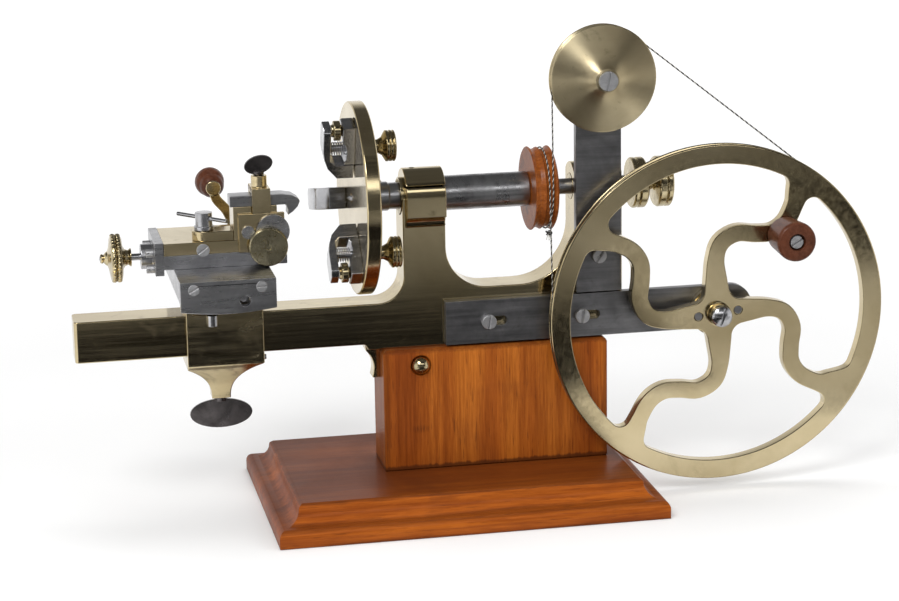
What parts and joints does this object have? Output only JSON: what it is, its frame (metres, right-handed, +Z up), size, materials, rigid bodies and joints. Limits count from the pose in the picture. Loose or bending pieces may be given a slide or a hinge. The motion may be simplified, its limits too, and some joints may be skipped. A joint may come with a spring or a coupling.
{
  "type": "watchmaker's faceplate engine",
  "caption": "Hand-driven faceplate lathe for watch plates: brass bed on a wooden stand, slotted faceplate with sprung dogs, pump centre, compound slide rest, S-spoked drive wheel and cord",
  "frame": {"origin": "middle of the base's underside, level with the table", "axes": "+X along the spindle from the faceplate towards the drive wheel, +Y away from the wheel's side, +Z up"},
  "size_m": [0.3747, 0.1365, 0.2212],
  "materials": {
    "polished_brass": "hand-polished and lacquered, slightly tarnished",
    "mahogany": "French-polished mahogany",
    "turned_wood": "turned and polished fruitwood",
    "bright_steel": "bright machined steel with fine scratches",
    "dark_steel": "darkened, grained steel",
    "cord": "twisted thread"
  },
  "bodies": {
    "stand": {"base_board": "mahogany", "pedestal_block": "mahogany", "stand_bolts": "bright_steel", "ball_nuts": "polished_brass", "bed_frame": "polished_brass", "bearing_bushes": "polished_brass", "wheel_arm": "dark_steel", "arm_screws": "bright_steel", "wheel_axle": "bright_steel", "axle_nut": "polished_brass", "idler_post": "dark_steel", "idler_screw": "bright_steel", "drive_cord": "cord"},
    "wheel": {"drive_wheel": "polished_brass", "hub_flange": "bright_steel", "crank_stud": "bright_steel"},
    "crank_knob": {"crank_knob": "turned_wood"},
    "idler": {"idler_pulley": "polished_brass"},
    "spindle": {"spindle": "bright_steel", "faceplate": "polished_brass", "spindle_pulley": "turned_wood"},
    "pump": {"pump_rod": "bright_steel", "pump_knob": "polished_brass"},
    "dog_1_base": {"dog_base_1": "bright_steel", "dog_spring_1": "bright_steel"},
    "dog_1_jaw": {"dog_jaw_1": "bright_steel"},
    "dog_1_nut": {"dog_thumb_nut_1": "polished_brass"},
    "dog_1_heel": {"dog_heel_nut_1": "polished_brass"},
    "dog_2_base": {"dog_base_2": "bright_steel", "dog_spring_2": "bright_steel"},
    "dog_2_jaw": {"dog_jaw_2": "bright_steel"},
    "dog_2_nut": {"dog_thumb_nut_2": "polished_brass"},
    "dog_2_heel": {"dog_heel_nut_2": "polished_brass"},
    "dog_3_base": {"dog_base_3": "bright_steel", "dog_spring_3": "bright_steel"},
    "dog_3_jaw": {"dog_jaw_3": "bright_steel"},
    "dog_3_nut": {"dog_thumb_nut_3": "polished_brass"},
    "dog_3_heel": {"dog_heel_nut_3": "polished_brass"},
    "saddle": {"saddle": "polished_brass", "cross_bed": "bright_steel"},
    "saddle_screw": {"saddle_thumb_screw": "dark_steel"},
    "cross_slide": {"cross_slide": "bright_steel", "cross_end_plate": "bright_steel", "slide_screws": "bright_steel", "top_bed": "bright_steel", "top_end_plate": "bright_steel"},
    "cross_screw": {"cross_feed_screw": "bright_steel", "cross_crank": "polished_brass"},
    "cross_knob": {"cross_knob": "turned_wood"},
    "top_slide": {"top_plate": "polished_brass", "clamp_strap": "polished_brass", "tool_carrier": "polished_brass", "carrier_disc": "bright_steel", "tool_stirrup": "polished_brass", "tool_bar": "bright_steel"},
    "top_screw": {"top_feed_screw": "bright_steel", "top_handwheel": "polished_brass"},
    "clamp": {"clamp_handle": "bright_steel"},
    "tool_screw": {"tool_screw": "dark_steel"},
    "carrier_screw": {"carrier_screw": "polished_brass"}
  },
  "joints": [
    {"name": "wheel_spin", "type": "hinge", "parent": "stand", "child": "wheel", "pos_m": [0.12285, -0.0202, 0.0844], "axis": [0, 1, 0], "continuous": true},
    {"name": "knob_spin", "type": "hinge", "parent": "wheel", "child": "crank_knob", "pos_m": [0.15406, -0.033, 0.12055], "axis": [0, 1, 0], "continuous": true},
    {"name": "idler_spin", "type": "hinge", "parent": "stand", "child": "idler", "pos_m": [0.06835, -0.0202, 0.1968], "axis": [0, 1, 0], "continuous": true},
    {"name": "spindle_spin", "type": "hinge", "parent": "stand", "child": "spindle", "pos_m": [0, 0, 0.144], "axis": [1, 0, 0], "continuous": true},
    {"name": "pump_slide", "type": "slide", "parent": "spindle", "child": "pump", "axis": [1, 0, 0], "range_m": [0, 0.03]},
    {"name": "dog_1_radial", "type": "slide", "parent": "spindle", "child": "dog_1_base", "axis": [0, -0.3322, 0.9432], "range_m": [-0.006, 0.003]},
    {"name": "dog_1_jaw_slide", "type": "slide", "parent": "dog_1_base", "child": "dog_1_jaw", "axis": [-1, 0, 0], "range_m": [0, 0.003], "deforming": ["dog_spring_1"]},
    {"name": "dog_1_nut_turn", "type": "hinge", "parent": "dog_1_base", "child": "dog_1_nut", "pos_m": [-0.0441, -0.00877, 0.1689], "axis": [1, 0, 0], "range_deg": [0, 1544]},
    {"name": "dog_1_heel_turn", "type": "hinge", "parent": "dog_1_base", "child": "dog_1_heel", "pos_m": [-0.0521, -0.01176, 0.17739], "axis": [-1, 0, 0], "range_deg": [-180, 180]},
    {"name": "dog_2_radial", "type": "slide", "parent": "spindle", "child": "dog_2_base", "axis": [0, -0.6508, -0.7593], "range_m": [-0.006, 0.003]},
    {"name": "dog_2_jaw_slide", "type": "slide", "parent": "dog_2_base", "child": "dog_2_jaw", "axis": [-1, 0, 0], "range_m": [0, 0.003], "deforming": ["dog_spring_2"]},
    {"name": "dog_2_nut_turn", "type": "hinge", "parent": "dog_2_base", "child": "dog_2_nut", "pos_m": [-0.0441, -0.01874, 0.12213], "axis": [1, 0, 0], "range_deg": [0, 1544]},
    {"name": "dog_2_heel_turn", "type": "hinge", "parent": "dog_2_base", "child": "dog_2_heel", "pos_m": [-0.0521, -0.0246, 0.1153], "axis": [-1, 0, 0], "range_deg": [-180, 180]},
    {"name": "dog_3_radial", "type": "slide", "parent": "spindle", "child": "dog_3_base", "axis": [0, 0.9829, -0.184], "range_m": [-0.006, 0.003]},
    {"name": "dog_3_jaw_slide", "type": "slide", "parent": "dog_3_base", "child": "dog_3_jaw", "axis": [-1, 0, 0], "range_m": [0, 0.003], "deforming": ["dog_spring_3"]},
    {"name": "dog_3_nut_turn", "type": "hinge", "parent": "dog_3_base", "child": "dog_3_nut", "pos_m": [-0.0441, 0.02792, 0.13878], "axis": [1, 0, 0], "range_deg": [0, 1544]},
    {"name": "dog_3_heel_turn", "type": "hinge", "parent": "dog_3_base", "child": "dog_3_heel", "pos_m": [-0.0521, 0.03676, 0.13712], "axis": [-1, 0, 0], "range_deg": [-180, 180]},
    {"name": "saddle_slide", "type": "slide", "parent": "stand", "child": "saddle", "axis": [1, 0, 0], "range_m": [-0.048, 0]},
    {"name": "saddle_screw_turn", "type": "hinge", "parent": "saddle", "child": "saddle_screw", "pos_m": [-0.1069, 0, 0.06], "axis": [0, 0, 1], "range_deg": [-360, 0]},
    {"name": "cross_feed", "type": "slide", "parent": "saddle", "child": "cross_slide", "axis": [0, 1, 0], "range_m": [-0.014, 0.006]},
    {"name": "cross_crank_turn", "type": "hinge", "parent": "cross_slide", "child": "cross_screw", "pos_m": [-0.0967, 0.052, 0.1049], "axis": [0, 1, 0], "range_deg": [-5041, 2161]},
    {"name": "cross_knob_spin", "type": "hinge", "parent": "cross_screw", "child": "cross_knob", "pos_m": [-0.1012, 0.065, 0.1413], "axis": [0, 1, 0], "continuous": true},
    {"name": "top_feed", "type": "slide", "parent": "cross_slide", "child": "top_slide", "axis": [1, 0, 0], "range_m": [0, 0.005]},
    {"name": "handwheel_turn", "type": "hinge", "parent": "cross_slide", "child": "top_screw", "pos_m": [-0.1498, 0.0206, 0.1179], "axis": [-1, 0, 0], "range_deg": [0, 1801]},
    {"name": "clamp_turn", "type": "hinge", "parent": "top_slide", "child": "clamp", "pos_m": [-0.1106, 0.0088, 0.1329], "axis": [0, 0, 1], "range_deg": [-75, 0]},
    {"name": "tool_screw_turn", "type": "hinge", "parent": "top_slide", "child": "tool_screw", "pos_m": [-0.0851, 0.0074, 0.1519], "axis": [0, 0, 1], "range_deg": [0, 360]},
    {"name": "carrier_screw_turn", "type": "hinge", "parent": "top_slide", "child": "carrier_screw", "pos_m": [-0.083, 0, 0.1243], "axis": [0, -1, 0], "range_deg": [0, 360]}
  ],
  "couplings": [
    {"joint": "idler_spin", "follows": "wheel_spin", "ratio": 3.3241},
    {"joint": "spindle_spin", "follows": "wheel_spin", "ratio": -4.1796},
    {"joint": "dog_1_nut_turn", "follows": "dog_1_jaw_slide", "rad_per_m": 8976},
    {"joint": "dog_2_nut_turn", "follows": "dog_2_jaw_slide", "rad_per_m": 8976},
    {"joint": "dog_3_nut_turn", "follows": "dog_3_jaw_slide", "rad_per_m": 8976},
    {"joint": "cross_crank_turn", "follows": "cross_feed", "rad_per_m": 6283.2},
    {"joint": "handwheel_turn", "follows": "top_feed", "rad_per_m": 6283.2}
  ]
}
